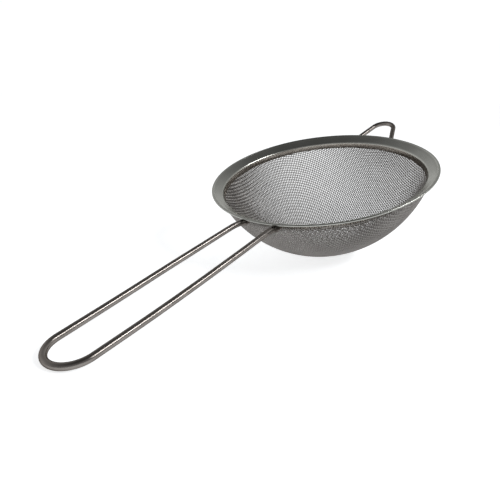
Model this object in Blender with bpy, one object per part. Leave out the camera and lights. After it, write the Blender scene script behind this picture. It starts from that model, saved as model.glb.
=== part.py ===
"""Tea strainer: a woven wire bowl in a pressed ring, with a long bent-wire handle and a rest loop.

Everything is drawn in the strainer's own axes: the rim's top edge lies in z = 0, the bowl hangs
below it, the handle runs along -X and the rest loop stands out along +X.  One empty then tips the
whole strainer into the pose it takes on a table, on the bottom of its bowl and the end of its handle.
"""
import math

import bmesh
import bpy
from mathutils import Matrix, Vector

# Pressed ring: a dished flange that turns down into a short collar.
RIM_RADIUS = 0.055
LIP_RADIUS = 0.00042
LIP_LAND = 0.0003
SHEET = 0.0005
FLANGE_SLOPE = math.radians(27.5)
COLLAR_BORE = 0.0489
SHOULDER_RADIUS = 0.0016
COLLAR_BOTTOM = -0.0056
RIM_STEPS = 72

# Gap left between pieces that touch on the real strainer.
GAP = 0.0003

# Wire cloth: a spherical cap that wraps the outside of the collar.
CLOTH = 0.0006
BOWL_RADIUS = 0.0542
CLOTH_TOP = -0.0034
CLOTH_WRAP = -0.0056
BOWL_RINGS = 11
REST_FLAT_DEPTH = 0.00033

# Wire that the handle and the rest loop are bent from.
WIRE_RADIUS = 0.00125
WIRE_ROUND = 3

# Handle: where its centre line runs, from under the flange to the bend.
HANDLE_REACH = 0.1540
HANDLE_BEND = 0.0092
HANDLE_TIP_Z = 0.0040
HANDLE_SIDE = [
    (-0.0516, 0.0084, -0.00362),
    (-0.0530, 0.0084, -0.00304),
    (-0.0545, 0.0085, -0.00252),
    (-0.0578, 0.0086, -0.00180),
    (-0.0630, 0.0088, -0.00138),
    (-0.0790, 0.0091, -0.00060),
    (-0.1004, 0.0094, 0.00050),
    (-0.1220, 0.0094, 0.00172),
]

# Rest loop: two legs that lean together into a round tip.
LOOP_ROOT_X = 0.0541
LOOP_ROOT_Z = -0.00248
LOOP_SLOPE = math.radians(15.0)
LOOP_LENGTH = 0.0170
LOOP_TIP_RADIUS = 0.0065
LOOP_HALF_WIDTH = 0.0103
LOOP_TUCK = 0.0030
LOOP_TURN = math.radians(-2.5)

# Weld beads, one at each wire end.
BEAD = Vector((0.0006, 0.0014, 0.0008))
BEAD_RING = 0.05125
BEAD_Z = -0.0036

STEEL = (0.55, 0.54, 0.52)
CLOTH_STEEL = (0.62, 0.64, 0.66)
WELD_STEEL = (0.12, 0.11, 0.10)


def clear_scene():
    for old in list(bpy.data.objects):
        bpy.data.objects.remove(old, do_unlink=True)


def steel(name, colour, roughness):
    material = bpy.data.materials.new(name)
    material.use_nodes = True
    shader = material.node_tree.nodes["Principled BSDF"]
    shader.inputs["Base Color"].default_value = (*colour, 1.0)
    shader.inputs["Roughness"].default_value = roughness
    shader.inputs["Metallic"].default_value = 1.0
    return material


def add_part(name, data, material, axes):
    part = bpy.data.objects.new(name, data)
    part.data.materials.append(material)
    bpy.context.scene.collection.objects.link(part)
    part.parent = axes
    return part


def arc(centre, radius, start, end, steps):
    """Points (r, z) along an arc, from start to end in degrees."""
    angles = [math.radians(start + (end - start) * i / steps) for i in range(steps + 1)]
    return [(centre[0] + radius * math.cos(a), centre[1] + radius * math.sin(a)) for a in angles]


def turned_body(profile, closed):
    """Turn an (r, z) outline about the Z axis into one closed body."""
    bm = bmesh.new()
    verts = [bm.verts.new((r, 0.0, z)) for r, z in profile]
    ends = verts[1:] + (verts[:1] if closed else [])
    edges = [bm.edges.new(pair) for pair in zip(verts, ends)]
    bmesh.ops.spin(
        bm,
        geom=verts + edges,
        axis=(0.0, 0.0, 1.0),
        cent=(0.0, 0.0, 0.0),
        angle=2.0 * math.pi,
        steps=RIM_STEPS,
        use_duplicate=False,
    )
    bmesh.ops.remove_doubles(bm, verts=bm.verts, dist=1e-6)
    return bm


def finished_mesh(name, bm):
    bmesh.ops.recalc_face_normals(bm, faces=bm.faces)
    mesh = bpy.data.meshes.new(name)
    bm.to_mesh(mesh)
    bm.free()
    mesh.shade_smooth()
    mesh.set_sharp_from_angle(angle=math.radians(40.0))
    return mesh


def flange_top(radius):
    """Height of the flange's upper face, which rises to the flat land on top of the lip."""
    return (radius - RIM_RADIUS + LIP_RADIUS + LIP_LAND) * math.tan(FLANGE_SLOPE)


def rim_profile():
    slope = math.degrees(FLANGE_SLOPE)
    lip = [(RIM_RADIUS - LIP_RADIUS - LIP_LAND, 0.0)]
    lip += arc((RIM_RADIUS - LIP_RADIUS, -LIP_RADIUS), LIP_RADIUS, 90.0, -130.0, 7)
    bend_r = COLLAR_BORE + SHOULDER_RADIUS
    bend_z = flange_top(bend_r) - SHOULDER_RADIUS / math.cos(FLANGE_SLOPE)
    inside = arc((bend_r, bend_z), SHOULDER_RADIUS, 180.0, 90.0 + slope, 5)
    outside = arc((bend_r, bend_z), SHOULDER_RADIUS - SHEET, 90.0 + slope, 180.0, 3)
    outer = COLLAR_BORE + SHEET
    return lip + outside + [(outer, COLLAR_BOTTOM), (COLLAR_BORE, COLLAR_BOTTOM)] + inside


def bowl_profile():
    """Outer face up from the bottom, over the cut edge, and down the inner face."""
    wrap_in = COLLAR_BORE + SHEET + GAP
    wrap_out = wrap_in + CLOTH
    middle = bowl_middle()
    angle_out = math.degrees(math.asin((CLOTH_WRAP - middle) / BOWL_RADIUS))
    inner = BOWL_RADIUS - CLOTH
    angle_in = math.degrees(math.asin((CLOTH_WRAP - 0.0005 - middle) / inner))
    outside = arc((0.0, middle), BOWL_RADIUS, -90.0, angle_out, BOWL_RINGS)
    inside = arc((0.0, middle), inner, angle_in, -90.0, BOWL_RINGS)
    return outside + [(wrap_out, CLOTH_TOP), (wrap_in, CLOTH_TOP), (wrap_in, CLOTH_WRAP)] + inside


def bowl_body(tilt):
    """The cloth bowl, pressed flat over a small spot where it rests on the table."""
    bm = turned_body(bowl_profile(), False)
    down = Matrix.Rotation(tilt, 3, "Y") @ Vector((0.0, 0.0, -1.0))
    spot = Vector((0.0, 0.0, bowl_middle())) + down * (BOWL_RADIUS - REST_FLAT_DEPTH)
    cut = bmesh.ops.bisect_plane(
        bm,
        geom=bm.verts[:] + bm.edges[:] + bm.faces[:],
        plane_co=spot,
        plane_no=down,
        clear_outer=True,
    )
    rim_of_cut = [item for item in cut["geom_cut"] if isinstance(item, bmesh.types.BMEdge)]
    bmesh.ops.edgeloop_fill(bm, edges=rim_of_cut)
    return bm


def bowl_middle():
    """Height of the bowl's centre of curvature, so that its outer face meets the wrap."""
    wrap_out = COLLAR_BORE + SHEET + GAP + CLOTH
    return CLOTH_WRAP + math.sqrt(BOWL_RADIUS ** 2 - wrap_out ** 2)


def curve_through(points, per_span):
    """Catmull-Rom curve through the points, which keeps the end points."""
    points = [Vector(p) for p in points]
    padded = [2 * points[0] - points[1]] + points + [2 * points[-1] - points[-2]]
    path = []
    for i in range(1, len(padded) - 2):
        a, b, c, d = padded[i - 1:i + 3]
        for k in range(per_span):
            t = k / per_span
            path.append(
                0.5 * (2 * b + (c - a) * t + (2 * a - 5 * b + 4 * c - d) * t ** 2
                       + (3 * b - a - 3 * c + d) * t ** 3)
            )
    return path + [points[-1]]


def wire_curve(name, path):
    data = bpy.data.curves.new(name, "CURVE")
    data.dimensions = "3D"
    data.bevel_depth = WIRE_RADIUS
    data.bevel_resolution = WIRE_ROUND
    data.use_fill_caps = True
    spline = data.splines.new("POLY")
    spline.points.add(len(path) - 1)
    for point, place in zip(spline.points, path):
        point.co = (*place, 1.0)
    spline.use_smooth = True
    return data


def mirrored(path):
    return [Vector((p.x, -p.y, p.z)) for p in reversed(path)]


def handle_path():
    """One side from the weld to the bend, half the bend, and the same mirrored."""
    middle = -HANDLE_REACH + HANDLE_BEND
    bend = []
    for i in range(9):
        turn = math.radians(90.0 * i / 8)
        lift = HANDLE_TIP_Z - 0.0007 * (1.0 - math.sin(turn))
        place = (middle - HANDLE_BEND * math.sin(turn), HANDLE_BEND * math.cos(turn), lift)
        bend.append(Vector(place))
    side = curve_through(HANDLE_SIDE + [bend[0]], 3)[:-1] + bend
    return side + mirrored(side[:-1])


def loop_path():
    """Legs tangent to the round tip; under the flange they follow its slope."""
    tip_middle = LOOP_LENGTH - LOOP_TIP_RADIUS
    reach = math.hypot(tip_middle, LOOP_HALF_WIDTH)
    lean = math.atan2(LOOP_HALF_WIDTH, tip_middle) - math.asin(LOOP_TIP_RADIUS / reach)
    flat = [(-LOOP_TUCK, LOOP_HALF_WIDTH + LOOP_TUCK * math.tan(lean))]
    flat += [(-LOOP_TUCK * 0.5, LOOP_HALF_WIDTH + LOOP_TUCK * 0.5 * math.tan(lean))]
    flat += [(0.0, LOOP_HALF_WIDTH)]
    steps = 8
    for i in range(steps + 1):
        turn = (math.pi / 2 - lean) * (1.0 - i / steps)
        flat.append((tip_middle + LOOP_TIP_RADIUS * math.cos(turn), LOOP_TIP_RADIUS * math.sin(turn)))
    side = [loop_place(along, out) for along, out in flat]
    side[3:3] = [side[2].lerp(side[3], t) for t in (0.33, 0.67)]
    turned = Matrix.Rotation(LOOP_TURN, 4, "Z")
    return [turned @ p for p in side + mirrored(side[:-1])]


def loop_place(along, out):
    slope = LOOP_SLOPE if along > 0.0 else math.radians(22.0)
    drop = along * math.tan(slope) if along < 0.0 else along * math.sin(slope)
    run = along if along < 0.0 else along * math.cos(slope)
    return Vector((LOOP_ROOT_X + run, out, LOOP_ROOT_Z + drop))


def bead_mesh(name, wire_end):
    """A rounded lump in the corner between the cut wire end, the flange and the cloth."""
    around = math.atan2(wire_end.y, wire_end.x)
    place = Matrix.Rotation(around, 4, "Z") @ Matrix.Translation((BEAD_RING, 0.0, BEAD_Z))
    mesh = bpy.data.meshes.new(name)
    bm = bmesh.new()
    shape = place @ Matrix.Diagonal((*BEAD, 1.0))
    bmesh.ops.create_uvsphere(bm, u_segments=12, v_segments=8, radius=1.0, matrix=shape)
    bm.to_mesh(mesh)
    bm.free()
    mesh.shade_smooth()
    return mesh


def resting_tilt():
    """Angle about Y at which the bowl's flat spot and the handle's end are equally low."""
    rise = bowl_middle() - HANDLE_TIP_Z
    drop = BOWL_RADIUS - REST_FLAT_DEPTH - WIRE_RADIUS
    return math.asin(drop / math.hypot(HANDLE_REACH, rise)) - math.atan2(rise, HANDLE_REACH)


def resting_matrix(tilt, loop_tip):
    """Tip the strainer, and put the middle of its footprint over the origin, on z = 0."""
    turn = Matrix.Rotation(-tilt, 4, "Y")
    low_x = (turn @ Vector((-HANDLE_REACH, 0.0, HANDLE_TIP_Z))).x
    high_x = (turn @ loop_tip).x
    middle_z = (turn @ Vector((0.0, 0.0, bowl_middle()))).z
    lift = BOWL_RADIUS - REST_FLAT_DEPTH - middle_z
    return Matrix.Translation((-0.5 * (low_x + high_x), 0.0, lift)) @ turn


def build():
    clear_scene()
    axes = bpy.data.objects.new("strainer_axes", None)
    bpy.context.scene.collection.objects.link(axes)
    wire_steel = steel("wire_steel", STEEL, 0.22)
    rim_steel = steel("rim_steel", (0.48, 0.47, 0.44), 0.34)
    cloth_steel = steel("cloth_steel", CLOTH_STEEL, 0.35)
    weld_steel = steel("weld_steel", WELD_STEEL, 0.6)
    handle = handle_path()
    loop = loop_path()
    tilt = resting_tilt()
    add_part("rim", finished_mesh("rim", turned_body(rim_profile(), True)), rim_steel, axes)
    add_part("mesh_bowl", finished_mesh("mesh_bowl", bowl_body(tilt)), cloth_steel, axes)
    add_part("handle", wire_curve("handle", handle), wire_steel, axes)
    add_part("rest_loop", wire_curve("rest_loop", loop), wire_steel, axes)
    ends = {
        "weld_handle_left": handle[0],
        "weld_handle_right": handle[-1],
        "weld_loop_left": loop[0],
        "weld_loop_right": loop[-1],
    }
    for name, wire_end in ends.items():
        add_part(name, bead_mesh(name, wire_end), weld_steel, axes)
    axes.matrix_world = resting_matrix(tilt, loop[len(loop) // 2])


build()
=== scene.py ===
import math

import bmesh
import bpy
import numpy as np
from mathutils import Matrix, Vector

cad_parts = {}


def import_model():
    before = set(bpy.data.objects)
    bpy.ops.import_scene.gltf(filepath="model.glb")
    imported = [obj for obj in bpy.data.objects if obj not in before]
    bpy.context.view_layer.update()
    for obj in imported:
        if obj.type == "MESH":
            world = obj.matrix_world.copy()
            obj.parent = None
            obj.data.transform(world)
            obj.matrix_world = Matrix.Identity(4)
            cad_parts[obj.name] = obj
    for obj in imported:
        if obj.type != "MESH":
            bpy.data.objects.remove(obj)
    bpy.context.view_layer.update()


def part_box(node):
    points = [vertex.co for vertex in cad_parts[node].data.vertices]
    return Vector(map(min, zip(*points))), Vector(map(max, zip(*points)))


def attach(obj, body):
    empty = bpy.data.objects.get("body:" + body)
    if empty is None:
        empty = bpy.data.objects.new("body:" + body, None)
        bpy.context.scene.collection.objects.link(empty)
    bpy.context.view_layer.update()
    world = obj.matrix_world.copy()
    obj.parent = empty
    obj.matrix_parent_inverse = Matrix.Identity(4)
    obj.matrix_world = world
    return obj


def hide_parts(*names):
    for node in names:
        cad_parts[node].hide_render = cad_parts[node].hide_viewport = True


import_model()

# Sizes in metres, in the strainer's own axes: rim top in z = 0, handle along -X, bowl below.
RIM_RADIUS = 0.055
LIP_RADIUS = 0.00042
LIP_LAND = 0.0003
SHEET = 0.0005
FLANGE_SLOPE = math.radians(27.5)
COLLAR_BORE = 0.0489
SHOULDER_RADIUS = 0.0016
COLLAR_BOTTOM = -0.0056
COLLAR_TAPER = math.radians(10.0)
LIP_GROOVE = 0.00012
GROOVE_MIDDLE = 0.0006
GROOVE_END = 0.0010
CUT_EDGE = 0.0001
RIM_STEPS = 360
# Slight waves that the press leaves in the ring: height, number of waves round it, phase.
RIM_WAVES = [(0.00004, 3, 0.7), (0.00003, 7, 2.1)]

WIRE_RADIUS = 0.00125
HANDLE_REACH = 0.1540
HANDLE_BEND = 0.0092
HANDLE_TIP_Z = 0.0040
HANDLE_TIP_LIFT = 0.0007
HANDLE_SIDE = [
    (-0.0516, 0.0084, -0.00362),
    (-0.0530, 0.0084, -0.00304),
    (-0.0545, 0.0085, -0.00252),
    (-0.0578, 0.0086, -0.00180),
    (-0.0630, 0.0088, -0.00138),
    (-0.0790, 0.0091, -0.00060),
    (-0.1004, 0.0094, 0.00050),
    (-0.1220, 0.0094, 0.00172),
]
LOOP_ROOT_X = 0.0541
LOOP_ROOT_Z = -0.00248
LOOP_SLOPE = math.radians(15.0)
LOOP_TUCK_SLOPE = math.radians(22.0)
LOOP_LENGTH = 0.0170
LOOP_TIP_RADIUS = 0.0065
LOOP_HALF_WIDTH = 0.0103
LOOP_TUCK = 0.0030
LOOP_TURN = math.radians(-2.5)
WIRE_SIDES = 32

BEAD = (0.0006, 0.0014, 0.0008)
BEAD_RING = 0.05125
BEAD_Z = -0.0036
BEAD_LUMPS = 5
BEAD_LUMP_HEIGHT = 0.035
BEAD_LUMP_RATE = 2.6

# Wire cloth, 24 wires to the inch, woven flat and pressed into the bowl with its wires at 45 degrees.
PITCH = 0.00105
CLOTH_WIRE = 0.00021
BOWL_RADIUS = 0.0539
BOWL_MIDDLE = 0.014588
WRAP_RADIUS = 0.0500
WRAP_TOP = -0.0036
WEAVE_TURN = math.radians(45.0)
CLOTH_SIDES = 6
CLOTH_STEPS = 2
CLOTH_SEED = 24
NET_COUNT = 66
WEAVE_LIFT = 1.04 * CLOTH_WIRE
# The cloth's cut edge is ragged: how far each wire's end strays, as an angle, and springs out.
CUT_STRAY = (-0.006, 0.004)
END_FLARE = 0.00035
SHORTEST_WIRE = 3
WRAP_BEND = 0.012

# The lip is the rim's widest and highest line, so the rim's box says where those axes stand.
RIM_LOW, RIM_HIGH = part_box("rim")
LIP_RING = RIM_RADIUS - LIP_RADIUS
TILT = math.acos(((RIM_HIGH[0] - RIM_LOW[0]) / 2 - LIP_RADIUS) / LIP_RING)
ORIGIN = (
    (RIM_HIGH[0] + RIM_LOW[0]) / 2 - LIP_RADIUS * math.sin(TILT),
    0.0,
    RIM_HIGH[2] - LIP_RADIUS - LIP_RING * math.sin(TILT) + LIP_RADIUS * math.cos(TILT),
)
AXES = Matrix.Translation(ORIGIN) @ Matrix.Rotation(-TILT, 4, "Y")


# ---------------------------------------------------------------- mesh helpers

def mesh_from(name, verts, quads, smooth=True):
    """Mesh from arrays of points and of four-cornered faces."""
    mesh = bpy.data.meshes.new(name)
    mesh.vertices.add(len(verts))
    mesh.vertices.foreach_set("co", np.asarray(verts, np.float32).ravel())
    mesh.loops.add(4 * len(quads))
    mesh.loops.foreach_set("vertex_index", np.asarray(quads, np.int32).ravel())
    mesh.polygons.add(len(quads))
    mesh.polygons.foreach_set("loop_start", np.arange(0, 4 * len(quads), 4, dtype=np.int32))
    mesh.polygons.foreach_set("use_smooth", np.full(len(quads), smooth))
    mesh.update(calc_edges=True)
    mesh.validate()
    return mesh


def tube(path, radius, sides, normal=None):
    """Points and faces of a closed tube along a path, with flat ends. sides is even."""
    path = np.asarray(path, float)
    tangent = np.gradient(path, axis=0)
    tangent /= np.linalg.norm(tangent, axis=1)[:, None]
    if normal is None:
        normal = np.tile((0.0, 0.0, 1.0), (len(path), 1))
    across = np.cross(tangent, normal)
    across /= np.linalg.norm(across, axis=1)[:, None]
    upward = np.cross(across, tangent)
    turn = (np.arange(sides) + 0.5) * 2 * math.pi / sides
    radius = np.broadcast_to(radius, len(path))
    ring = np.cos(turn)[None, :, None] * across[:, None, :] + np.sin(turn)[None, :, None] * upward[:, None, :]
    verts = path[:, None, :] + radius[:, None, None] * ring
    rows = np.arange(len(path) - 1)[:, None] * sides
    here = np.arange(sides)[None, :]
    after = (here + 1) % sides
    quads = np.stack([rows + here, rows + after, rows + after + sides, rows + here + sides], -1)
    last = (len(path) - 1) * sides
    caps = end_quads(sides)
    far = [tuple(last + c for c in reversed(cap)) for cap in caps]
    return verts.reshape(-1, 3), np.concatenate([quads.reshape(-1, 4), np.array(caps + far)])


def end_quads(sides):
    """A flat end with an even number of sides, split into four-cornered faces."""
    return [(0, sides - 1 - k, sides - 2 - k, sides - 3 - k) for k in range(0, sides - 2, 2)]


def add_piece(name, mesh, node, material):
    mesh.transform(AXES)
    mesh.materials.append(material)
    piece = bpy.data.objects.new(name, mesh)
    bpy.context.scene.collection.objects.link(piece)
    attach(piece, "root")
    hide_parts(node)
    return piece


def arc(centre, radius, start, end, steps):
    """Points (r, z) along an arc, from start to end in degrees."""
    turn = np.radians(np.linspace(start, end, steps + 1))
    return np.stack([centre[0] + radius * np.cos(turn), centre[1] + radius * np.sin(turn)], -1)


# ---------------------------------------------------------------- shapes

def flange_top(radius):
    """Height of the flange's upper face."""
    return (radius - RIM_RADIUS + LIP_RADIUS + LIP_LAND) * math.tan(FLANGE_SLOPE)


def shoulder_middle():
    """Middle (r, z) of the round between the flange's slope and the collar's taper."""
    flange_normal = (-math.sin(FLANGE_SLOPE), math.cos(FLANGE_SLOPE))
    collar_normal = (-math.cos(COLLAR_TAPER), math.sin(COLLAR_TAPER))
    lip_start = RIM_RADIUS - LIP_RADIUS - LIP_LAND
    on_flange = flange_normal[0] * lip_start - SHOULDER_RADIUS
    on_collar = np.dot(collar_normal, (COLLAR_BORE, COLLAR_BOTTOM)) - SHOULDER_RADIUS
    return np.linalg.solve((flange_normal, collar_normal), (on_flange, on_collar))


def rim_outline():
    """Closed section (r, z) of the ring: rolled lip, sloping flange, rounded shoulder, tapered collar."""
    slope = math.degrees(FLANGE_SLOPE)
    taper = math.degrees(COLLAR_TAPER)
    inner_lip = RIM_RADIUS - LIP_RADIUS - LIP_LAND
    bend = shoulder_middle()
    groove_r = inner_lip - GROOVE_MIDDLE
    groove = (groove_r, flange_top(groove_r) - LIP_GROOVE)
    land = arc((inner_lip, -LIP_RADIUS), LIP_RADIUS, 150.0, 90.0, 6)
    lip_round = arc((RIM_RADIUS - LIP_RADIUS, -LIP_RADIUS), LIP_RADIUS, 88.0, -130.0, 14)
    outside = arc(bend, SHOULDER_RADIUS - SHEET, 90.0 + slope, 180.0 - taper, 8)
    under = [lip_round[-1] + (outside[0] - lip_round[-1]) * t for t in (0.25, 0.5, 0.75)]
    foot_out = COLLAR_BORE + SHEET / math.cos(COLLAR_TAPER)
    foot_out_edge = [(foot_out, COLLAR_BOTTOM + CUT_EDGE), (foot_out - CUT_EDGE, COLLAR_BOTTOM)]
    foot_in_edge = [(COLLAR_BORE + CUT_EDGE, COLLAR_BOTTOM), (COLLAR_BORE, COLLAR_BOTTOM + CUT_EDGE)]
    foot = foot_out_edge + foot_in_edge
    inside = arc(bend, SHOULDER_RADIUS, 180.0 - taper, 90.0 + slope, 12)
    flat_end = np.array((inner_lip - GROOVE_END, flange_top(inner_lip - GROOVE_END)))
    over = [inside[-1] + (flat_end - inside[-1]) * t for t in (0.25, 0.5, 0.75, 1.0)]
    return np.concatenate([land, lip_round, under, outside, foot, inside, over, [groove]])


def rim_mesh():
    """The ring's section turned about the bowl's axis, with the press's slight waves."""
    outline = rim_outline()
    turn = np.arange(RIM_STEPS) * 2 * math.pi / RIM_STEPS
    wave = sum(height * np.sin(count * turn + phase) for height, count, phase in RIM_WAVES)
    radius = outline[:, 0][None, :]
    x = radius * np.cos(turn)[:, None]
    y = radius * np.sin(turn)[:, None]
    z = outline[:, 1][None, :] + wave[:, None]
    verts = np.stack([x, y, z], -1)
    corners = len(outline)
    here = np.arange(corners)[None, :]
    after = (here + 1) % corners
    row = np.arange(RIM_STEPS)[:, None] * corners
    next_row = ((np.arange(RIM_STEPS) + 1) % RIM_STEPS)[:, None] * corners
    quads = np.stack([row + here, row + after, next_row + after, next_row + here], -1)
    return mesh_from("rim_ring", verts.reshape(-1, 3), quads.reshape(-1, 4))


def curve_through(points, per_span):
    """Catmull-Rom curve through the points, which keeps the end points."""
    points = [Vector(p) for p in points]
    padded = [2 * points[0] - points[1]] + points + [2 * points[-1] - points[-2]]
    path = []
    for i in range(1, len(padded) - 2):
        a, b, c, d = padded[i - 1:i + 3]
        for k in range(per_span):
            t = k / per_span
            path.append(
                0.5 * (2 * b + (c - a) * t + (2 * a - 5 * b + 4 * c - d) * t ** 2
                       + (3 * b - a - 3 * c + d) * t ** 3)
            )
    return path + [points[-1]]


def mirrored(path):
    return [Vector((p.x, -p.y, p.z)) for p in reversed(path)]


def handle_path():
    """Middle line of the handle's wire, from its left end round the bend to its right end."""
    middle = -HANDLE_REACH + HANDLE_BEND
    bend = []
    steps = 48
    for i in range(steps + 1):
        turn = math.radians(90.0 * i / steps)
        height = HANDLE_TIP_Z - HANDLE_TIP_LIFT * (1.0 - math.sin(turn))
        place = (middle - HANDLE_BEND * math.sin(turn), HANDLE_BEND * math.cos(turn), height)
        bend.append(Vector(place))
    side = curve_through(HANDLE_SIDE + [bend[0]], 16)[:-1] + bend
    return side + mirrored(side[:-1])


def loop_place(along, out):
    """Point on the rest loop: outside the rim it rises, and its ends tuck in under the flange."""
    if along > 0.0:
        run = along * math.cos(LOOP_SLOPE)
        rise = along * math.sin(LOOP_SLOPE)
    else:
        run = along
        rise = along * math.tan(LOOP_TUCK_SLOPE)
    return Vector((LOOP_ROOT_X + run, out, LOOP_ROOT_Z + rise))


def loop_path():
    """Middle line of the loop's wire: two legs that lean in to a round tip."""
    tip_middle = LOOP_LENGTH - LOOP_TIP_RADIUS
    reach = math.hypot(tip_middle, LOOP_HALF_WIDTH)
    lean = math.atan2(LOOP_HALF_WIDTH, tip_middle) - math.asin(LOOP_TIP_RADIUS / reach)
    flat = [(along, LOOP_HALF_WIDTH - along * math.tan(lean)) for along in np.linspace(-LOOP_TUCK, 0.0, 5)]
    start = flat[-1]
    turn0 = math.pi / 2 - lean
    touch = (tip_middle + LOOP_TIP_RADIUS * math.cos(turn0), LOOP_TIP_RADIUS * math.sin(turn0))
    for t in np.linspace(0.0, 1.0, 10)[1:-1]:
        flat.append((start[0] + (touch[0] - start[0]) * t, start[1] + (touch[1] - start[1]) * t))
    steps = 40
    for i in range(steps + 1):
        turn = turn0 * (1.0 - i / steps)
        flat.append((tip_middle + LOOP_TIP_RADIUS * math.cos(turn), LOOP_TIP_RADIUS * math.sin(turn)))
    side = [loop_place(along, out) for along, out in flat]
    turned = Matrix.Rotation(LOOP_TURN, 4, "Z")
    return [turned @ p for p in side + mirrored(side[:-1])]


def wire_mesh(name, path):
    verts, quads = tube([tuple(p) for p in path], WIRE_RADIUS, WIRE_SIDES)
    return mesh_from(name, verts, quads)


def draped_net(count):
    """Where the crossings of a flat square cloth lie when it is pressed on a sphere.

    Each wire keeps its length between crossings, so the squares shear into diamonds between
    the two wires that cross at the bottom. Directions from the sphere's middle, one quarter.
    """
    step = PITCH / BOWL_RADIUS
    net = np.zeros((count + 1, count + 1, 3))
    for i in range(count + 1):
        net[i, 0] = (math.sin(i * step), 0.0, -math.cos(i * step))
        net[0, i] = (0.0, math.sin(i * step), -math.cos(i * step))
    reach = math.cos(step)
    for i in range(1, count + 1):
        for j in range(1, count + 1):
            a, b, before = net[i - 1, j], net[i, j - 1], net[i - 1, j - 1]
            total = a + b
            base = total * (2 * reach / (total @ total))
            side = np.cross(a, b)
            size = np.linalg.norm(side)
            room = 1.0 - base @ base
            if np.isnan(size) or size < 1e-6 or room < 0.0:
                net[i, j] = np.nan
                continue
            side *= math.sqrt(room) / size
            away = np.linalg.norm(base + side - before) > np.linalg.norm(base - side - before)
            net[i, j] = base + side if away else base - side
    return net


def whole_net(count):
    """The draped net over the whole bowl: the quarter, mirrored."""
    quarter = draped_net(count)
    net = np.full((2 * count + 1, 2 * count + 1, 3), np.nan)
    for sx in (1, -1):
        for sy in (1, -1):
            rows = count + sx * np.arange(count + 1)
            columns = count + sy * np.arange(count + 1)
            net[np.ix_(rows, columns)] = quarter * np.array((sx, sy, 1))
    return net


def on_cloth(direction, out):
    """Point on the cloth for a direction from the bowl's middle, moved out along the normal.

    Below the collar the cloth is the sphere; above it the cloth runs up the outside of the collar.
    """
    angle = np.arccos(np.clip(-direction[:, 2], -1.0, 1.0))
    edge = math.asin(WRAP_RADIUS / BOWL_RADIUS)
    flat = direction[:, :2] / np.maximum(np.linalg.norm(direction[:, :2], axis=1), 1e-9)[:, None]
    capped = np.minimum(angle, edge)
    past = BOWL_RADIUS * np.maximum(angle - edge, 0.0)
    radius = BOWL_RADIUS * np.sin(capped) + past * math.sin(COLLAR_TAPER)
    height = BOWL_MIDDLE - BOWL_RADIUS * np.cos(capped) + past * math.cos(COLLAR_TAPER)
    blend = np.clip((angle - edge) / WRAP_BEND + 0.5, 0.0, 1.0)[:, None]
    round_normal = np.column_stack([flat * np.sin(capped)[:, None], -np.cos(capped)])
    lean = (math.cos(COLLAR_TAPER), -math.sin(COLLAR_TAPER))
    upright = np.column_stack([flat * lean[0], np.full(len(flat), lean[1])])
    normal = round_normal * (1.0 - blend) + upright * blend
    normal /= np.linalg.norm(normal, axis=1)[:, None]
    place = np.column_stack([flat * radius[:, None], height])
    return place + normal * out[:, None], normal


def settled(place):
    """Lifts the wires under the bowl so that they lie on the table, which they flatten on."""
    down = np.array(AXES.to_3x3().inverted() @ Vector((0.0, 0.0, 1.0)))
    above = place @ down + ORIGIN[2]
    return place + np.maximum(CLOTH_WIRE - above, 0.0)[:, None] * down


def kept_run(keep, middle):
    """First and last of the unbroken run of kept points round the middle one."""
    first = middle
    while first > 0 and keep[first - 1]:
        first -= 1
    last = middle
    while last < len(keep) - 1 and keep[last + 1]:
        last += 1
    return first, last


def cloth_wires(net, across, rng):
    """Middle lines of one set of wires: set 0 runs along the net's rows, and set 1 along its columns.

    Gives each wire's points, the cloth's normal at each, and the wire's number from the middle.
    """
    count = net.shape[0] // 2
    edge = math.asin(WRAP_RADIUS / BOWL_RADIUS)
    cut = edge + (WRAP_TOP - (BOWL_MIDDLE - BOWL_RADIUS * math.cos(edge))) / BOWL_RADIUS
    turn = np.array(Matrix.Rotation(WEAVE_TURN, 3, "Z"))
    sign = 1.0 if across == 0 else -1.0
    fine = np.arange(0.0, 2 * count + 1e-6, 1.0 / CLOTH_STEPS)
    low = np.minimum(np.floor(fine).astype(int), 2 * count - 1)
    part = (fine - low)[:, None]
    lines = []
    for i in range(2 * count + 1):
        row = net[i] if across == 0 else net[:, i]
        direction = row[low] * (1.0 - part) + row[low + 1] * part
        direction /= np.linalg.norm(direction, axis=1)[:, None]
        angle = np.arccos(np.clip(-direction[:, 2], -1.0, 1.0))
        angle = np.nan_to_num(angle, nan=math.inf)
        ends = cut + rng.uniform(*CUT_STRAY, 2)
        keep = angle < np.where(fine < count, ends[0], ends[1])
        middle = int(np.argmin(angle))
        if not keep[middle]:
            continue
        first, last = kept_run(keep, middle)
        if last - first < SHORTEST_WIRE:
            continue
        here = slice(first, last + 1)
        weave = sign * WEAVE_LIFT * np.cos(math.pi * (fine[here] + i))
        inward = np.minimum(fine[here] - fine[first], fine[last] - fine[here])
        flare = rng.uniform(0.0, END_FLARE) * np.clip(1.0 - inward, 0.0, 1.0)
        place, normal = on_cloth(direction[here] @ turn.T, weave + flare)
        lines.append((settled(place), normal, i - count))
    return lines


def joined_tubes(name, lines):
    """One mesh of all the wires in the lines."""
    verts = []
    quads = []
    base = 0
    for place, normal, _ in lines:
        tube_verts, tube_quads = tube(place, CLOTH_WIRE, CLOTH_SIDES, normal)
        verts.append(tube_verts)
        quads.append(tube_quads + base)
        base += len(tube_verts)
    return mesh_from(name, np.concatenate(verts), np.concatenate(quads))


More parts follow.
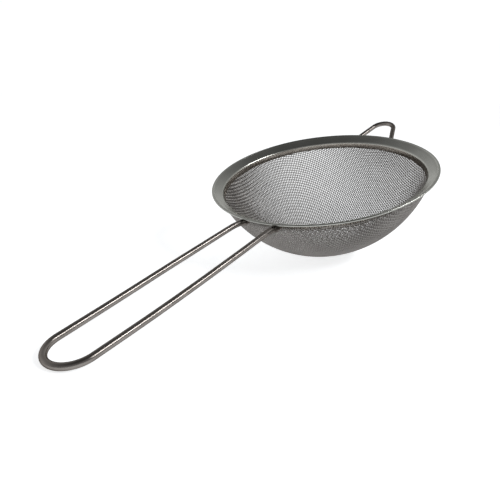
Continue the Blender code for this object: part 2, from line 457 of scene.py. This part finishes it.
def bead_mesh(name, wire_end, seed):
    """A lumpy bead between the end of a wire and the cloth."""
    around = math.atan2(wire_end.y, wire_end.x)
    place = Matrix.Rotation(around, 4, "Z") @ Matrix.Translation((BEAD_RING, 0.0, BEAD_Z))
    bm = bmesh.new()
    bmesh.ops.create_icosphere(bm, subdivisions=4, radius=1.0)
    rng = np.random.default_rng(seed)
    waves = [
        (Vector(rng.normal(0, BEAD_LUMP_RATE, 3)), rng.uniform(0, 6.3))
        for _ in range(BEAD_LUMPS)
    ]
    for vert in bm.verts:
        lump = sum(math.sin(wave.dot(vert.co) + phase) for wave, phase in waves)
        vert.co = vert.co * (1.0 + BEAD_LUMP_HEIGHT * lump)
        vert.co = place @ Vector((vert.co.x * BEAD[0], vert.co.y * BEAD[1], vert.co.z * BEAD[2]))
    mesh = bpy.data.meshes.new(name)
    bm.to_mesh(mesh)
    bm.free()
    mesh.shade_smooth()
    return mesh


# ---------------------------------------------------------------- materials

# Each steel's darker and lighter patches, and its smoothest and roughest spots.
STEEL_EDGE_TINT = (0.25, 0.24, 0.23, 1.0)
RIM_EDGE_TINT = (0.9, 0.9, 0.88, 1.0)
FLANGE_COLOURS = ((0.33, 0.333, 0.31), (0.375, 0.378, 0.355))
# The collar is the same steel as the flange; its lighter, warmer colours are a painted reflection of the
# light its inner face catches.
COLLAR_SHEEN_COLOURS = ((0.43, 0.39, 0.347), (0.50, 0.457, 0.41))
WIRE_COLOURS = ((0.20, 0.183, 0.170), (0.25, 0.230, 0.215))
CLOTH_COLOURS = ((0.255, 0.243, 0.233), (0.315, 0.301, 0.289))
# The weld beads are near black: partly the welds' own dark scale, partly painted shade for the shadow where
# the wires go in under the flange.
WELD_SCALE_AND_SHADE_COLOURS = ((0.045, 0.040, 0.036), (0.14, 0.11, 0.09))
RIM_ROUGHNESS = (0.22, 0.27)
WIRE_ROUGHNESS = (0.2, 0.27)
CLOTH_ROUGHNESS = (0.40, 0.5)
WELD_ROUGHNESS = (0.45, 0.7)
# Height where the collar's painted reflection begins below the shoulder, and how far it fades in.
COLLAR_SHEEN_TOP = shoulder_middle()[1]
COLLAR_SHEEN_FADE = 0.0008
BRUSH_STRETCH = 0.0016
BRUSH_DEPTH = 0.00001


def new_material(name):
    """A metal, with the nodes that the caller goes on to link."""
    material = bpy.data.materials.new(name)
    material.use_nodes = True
    nodes = material.node_tree.nodes
    links = material.node_tree.links
    shader = nodes["Principled BSDF"]
    shader.inputs["Metallic"].default_value = 1.0
    shader.inputs["Specular Tint"].default_value = STEEL_EDGE_TINT
    return material, nodes, links, shader


def ramp(nodes, links, value, low, high, start=0.35, end=0.65):
    """Colour that runs from low to high as value runs from start to end."""
    node = nodes.new("ShaderNodeValToRGB")
    node.color_ramp.elements[0].position = start
    node.color_ramp.elements[1].position = end
    node.color_ramp.elements[0].color = (*low, 1.0)
    node.color_ramp.elements[1].color = (*high, 1.0)
    links.new(value, node.inputs["Fac"])
    return node.outputs["Color"]


def noise(nodes, links, vector, scale, detail=3.0):
    node = nodes.new("ShaderNodeTexNoise")
    node.inputs["Scale"].default_value = scale
    node.inputs["Detail"].default_value = detail
    links.new(vector, node.inputs["Vector"])
    return node.outputs["Fac"]


def span(nodes, links, value, low, high):
    """Number that runs from low to high over most of a noise's range."""
    node = nodes.new("ShaderNodeMapRange")
    node.inputs["From Min"].default_value = 0.3
    node.inputs["From Max"].default_value = 0.7
    node.inputs["To Min"].default_value = low
    node.inputs["To Max"].default_value = high
    links.new(value, node.inputs["Value"])
    return node.outputs["Result"]


def bump(nodes, links, shader, height, distance, strength):
    node = nodes.new("ShaderNodeBump")
    node.inputs["Distance"].default_value = distance
    node.inputs["Strength"].default_value = strength
    links.new(height, node.inputs["Height"])
    links.new(node.outputs["Normal"], shader.inputs["Normal"])


def strainer_point(nodes, links):
    """The point in the strainer's own axes, so that marks run true to the rim."""
    place = nodes.new("ShaderNodeMapping")
    place.vector_type = "TEXTURE"
    place.inputs["Location"].default_value = AXES.to_translation()
    place.inputs["Rotation"].default_value = AXES.to_euler()
    links.new(nodes.new("ShaderNodeTexCoord").outputs["Object"], place.inputs["Vector"])
    return place.outputs["Vector"]


def polar_point(nodes, links):
    """Coordinates that run out from the bowl's axis and round it, for turned brush marks."""
    split = nodes.new("ShaderNodeSeparateXYZ")
    links.new(strainer_point(nodes, links), split.inputs["Vector"])
    around = nodes.new("ShaderNodeMath")
    around.operation = "ARCTAN2"
    links.new(split.outputs["Y"], around.inputs[0])
    links.new(split.outputs["X"], around.inputs[1])
    slow = nodes.new("ShaderNodeMath")
    slow.operation = "MULTIPLY"
    slow.inputs[1].default_value = BRUSH_STRETCH
    links.new(around.outputs["Value"], slow.inputs[0])
    length = nodes.new("ShaderNodeVectorMath")
    length.operation = "LENGTH"
    links.new(strainer_point(nodes, links), length.inputs[0])
    join = nodes.new("ShaderNodeCombineXYZ")
    links.new(length.outputs["Value"], join.inputs["X"])
    links.new(slow.outputs["Value"], join.inputs["Y"])
    links.new(split.outputs["Z"], join.inputs["Z"])
    return join.outputs["Vector"]


def rim_material():
    """Satin ring: a grey-green flange, and a collar painted lighter and warmer than the flange as a painted
    reflection.
    """
    material, nodes, links, shader = new_material("rim_steel")
    turned = noise(nodes, links, polar_point(nodes, links), 9000.0, 4.0)
    patches = noise(nodes, links, strainer_point(nodes, links), 90.0)
    shader.inputs["Specular Tint"].default_value = RIM_EDGE_TINT
    flange = ramp(nodes, links, patches, *FLANGE_COLOURS)
    # Below the shoulder the collar takes its painted reflection: a lighter, warmer colour than the flange.
    collar = ramp(nodes, links, patches, *COLLAR_SHEEN_COLOURS)
    split = nodes.new("ShaderNodeSeparateXYZ")
    links.new(strainer_point(nodes, links), split.inputs["Vector"])
    height = nodes.new("ShaderNodeMapRange")
    height.inputs["From Min"].default_value = COLLAR_SHEEN_TOP
    height.inputs["From Max"].default_value = COLLAR_SHEEN_TOP + COLLAR_SHEEN_FADE
    links.new(split.outputs["Z"], height.inputs["Value"])
    colour = nodes.new("ShaderNodeMix")
    colour.data_type = "RGBA"
    links.new(height.outputs["Result"], colour.inputs["Factor"])
    links.new(collar, colour.inputs["A"])
    links.new(flange, colour.inputs["B"])
    links.new(colour.outputs["Result"], shader.inputs["Base Color"])
    links.new(span(nodes, links, turned, *RIM_ROUGHNESS), shader.inputs["Roughness"])
    bump(nodes, links, shader, turned, BRUSH_DEPTH, 0.12)
    return material


def wire_material():
    material, nodes, links, shader = new_material("wire_steel")
    patches = noise(nodes, links, strainer_point(nodes, links), 160.0)
    colour = ramp(nodes, links, patches, *WIRE_COLOURS)
    links.new(colour, shader.inputs["Base Color"])
    worn = noise(nodes, links, strainer_point(nodes, links), 300.0)
    links.new(span(nodes, links, worn, *WIRE_ROUGHNESS), shader.inputs["Roughness"])
    return material


def cloth_material():
    material, nodes, links, shader = new_material("cloth_steel")
    patches = noise(nodes, links, strainer_point(nodes, links), 70.0)
    colour = ramp(nodes, links, patches, *CLOTH_COLOURS)
    links.new(colour, shader.inputs["Base Color"])
    fine = noise(nodes, links, strainer_point(nodes, links), 1500.0)
    links.new(span(nodes, links, fine, *CLOTH_ROUGHNESS), shader.inputs["Roughness"])
    return material


def weld_material():
    # Near-black beads: the welds' dark scale together with painted shade for the shadow under the flange.
    material, nodes, links, shader = new_material("weld_steel")
    fine = noise(nodes, links, strainer_point(nodes, links), 900.0)
    colour = ramp(nodes, links, fine, *WELD_SCALE_AND_SHADE_COLOURS)
    links.new(colour, shader.inputs["Base Color"])
    links.new(span(nodes, links, fine, *WELD_ROUGHNESS), shader.inputs["Roughness"])
    return material


# ---------------------------------------------------------------- the strainer

RIM_STEEL = rim_material()
WIRE_STEEL = wire_material()
CLOTH_STEEL = cloth_material()
WELD_STEEL = weld_material()

add_piece("rim_ring", rim_mesh(), "rim", RIM_STEEL)

rng = np.random.default_rng(CLOTH_SEED)
net = whole_net(NET_COUNT)
warp = cloth_wires(net, 0, rng)
weft = cloth_wires(net, 1, rng)
for name, wires in (("warp", warp), ("weft", weft)):
    for side in (-1, 1):
        half = [wire for wire in wires if (wire[2] >= 0) == (side > 0)]
        label = "cloth_%s_%s" % (name, "high" if side > 0 else "low")
        add_piece(label, joined_tubes(label, half), "mesh_bowl", CLOTH_STEEL)

handle_line = handle_path()
loop_line = loop_path()
add_piece("handle_wire", wire_mesh("handle_wire", handle_line), "handle", WIRE_STEEL)
add_piece("loop_wire", wire_mesh("loop_wire", loop_line), "rest_loop", WIRE_STEEL)

WELDS = {
    "weld_handle_left": handle_line[0],
    "weld_handle_right": handle_line[-1],
    "weld_loop_left": loop_line[0],
    "weld_loop_right": loop_line[-1],
}
for seed, (node, wire_end) in enumerate(WELDS.items()):
    name = node + "_bead"
    add_piece(name, bead_mesh(name, wire_end, seed), node, WELD_STEEL)


# ---------------------------------------------------------------- floor, light, camera

FLOOR_HALF = 60.0
FLOOR_DROP = 0.0001
FLOOR_COLOUR = (0.82, 0.85, 0.88, 1.0)
FLOOR_GLOW = 0.70
# Strip lamp: its two ends, width, what it faces, and power in watts.
KEY = ((0.02, -0.80, 0.60), (0.52, -0.56, 0.68), 0.12, (-0.05, 0.0, 0.02), 4.0)
SKY_TOP = (0.16, 0.16, 0.16)
SKY_FADE = (0.22, 0.92)
ROOM = 0.4
BACKDROP = 1.02
BACKDROP_WAY = (0.79, 0.61, 0.0)
BACKDROP_EDGE = (-0.6, 0.3)
# The camera, in the strainer's own axes, with its place in rim radii.
CAMERA_PLACE = (-3.478, -2.157, 1.652)
CAMERA_RIGHT = (0.598, -0.786, -0.154)
CAMERA_FORWARD = (0.640, 0.584, -0.499)
CAMERA_LENS = 34.56
CAMERA_SENSOR = 36.0


def floor():
    """Large pale floor that glows a little, so that it stays white away from the lamp."""
    mesh = bpy.data.meshes.new("floor")
    low, high = -FLOOR_HALF, FLOOR_HALF
    corners = [(low, low, 0.0), (high, low, 0.0), (high, high, 0.0), (low, high, 0.0)]
    mesh.from_pydata(corners, [], [(0, 1, 2, 3)])
    material, _, _, shader = new_material("floor_white")
    shader.inputs["Metallic"].default_value = 0.0
    shader.inputs["Base Color"].default_value = FLOOR_COLOUR
    shader.inputs["Roughness"].default_value = 0.9
    shader.inputs["Emission Color"].default_value = (1.0, 1.0, 1.0, 1.0)
    shader.inputs["Emission Strength"].default_value = FLOOR_GLOW
    mesh.materials.append(material)
    ground = bpy.data.objects.new("floor", mesh)
    ground.location.z = -FLOOR_DROP
    bpy.context.scene.collection.objects.link(ground)


def strip_light(name, start, end, width, target, power):
    """Long lamp from start to end, turned to face the target."""
    start, end, target = Vector(start), Vector(end), Vector(target)
    middle = (start + end) / 2
    back = (middle - target).normalized()
    along = (end - start) - (end - start).dot(back) * back
    along.normalize()
    data = bpy.data.lights.new(name, "AREA")
    data.shape = "RECTANGLE"
    data.size = (end - start).length
    data.size_y = width
    data.energy = power
    light = bpy.data.objects.new(name, data)
    turn = Matrix((along, back.cross(along), back)).transposed().to_4x4()
    light.matrix_world = Matrix.Translation(middle) @ turn
    bpy.context.scene.collection.objects.link(light)


def world():
    """White sweep behind the strainer, in a room that is darker overhead and behind the camera."""
    sky = bpy.data.worlds.new("studio")
    bpy.context.scene.world = sky
    sky.use_nodes = True
    nodes = sky.node_tree.nodes
    links = sky.node_tree.links
    background = nodes["Background"]
    split = nodes.new("ShaderNodeSeparateXYZ")
    way = nodes.new("ShaderNodeTexCoord").outputs["Generated"]
    links.new(way, split.inputs["Vector"])
    colour = ramp(nodes, links, split.outputs["Z"], (1.0, 1.0, 1.0), SKY_TOP, *SKY_FADE)
    links.new(colour, background.inputs["Color"])
    facing = nodes.new("ShaderNodeVectorMath")
    facing.operation = "DOT_PRODUCT"
    facing.inputs[1].default_value = BACKDROP_WAY
    links.new(way, facing.inputs[0])
    strength = nodes.new("ShaderNodeMapRange")
    strength.inputs["From Min"].default_value = BACKDROP_EDGE[0]
    strength.inputs["From Max"].default_value = BACKDROP_EDGE[1]
    strength.inputs["To Min"].default_value = ROOM
    strength.inputs["To Max"].default_value = BACKDROP
    links.new(facing.outputs["Value"], strength.inputs["Value"])
    links.new(strength.outputs["Result"], background.inputs["Strength"])


def camera():
    data = bpy.data.cameras.new("camera")
    data.sensor_width = CAMERA_SENSOR
    data.lens = CAMERA_LENS
    data.clip_start = 0.01
    view = bpy.data.objects.new("camera", data)
    right = AXES.to_3x3() @ Vector(CAMERA_RIGHT).normalized()
    forward = AXES.to_3x3() @ Vector(CAMERA_FORWARD).normalized()
    up = right.cross(forward).normalized()
    forward = up.cross(right)
    turn = Matrix((right, up, -forward)).transposed().to_4x4()
    place = AXES @ (RIM_RADIUS * Vector(CAMERA_PLACE))
    view.matrix_world = Matrix.Translation(place) @ turn
    bpy.context.scene.collection.objects.link(view)
    bpy.context.scene.camera = view


floor()
world()
strip_light("key", *KEY)
camera()
bpy.context.scene.view_settings.view_transform = "Standard"
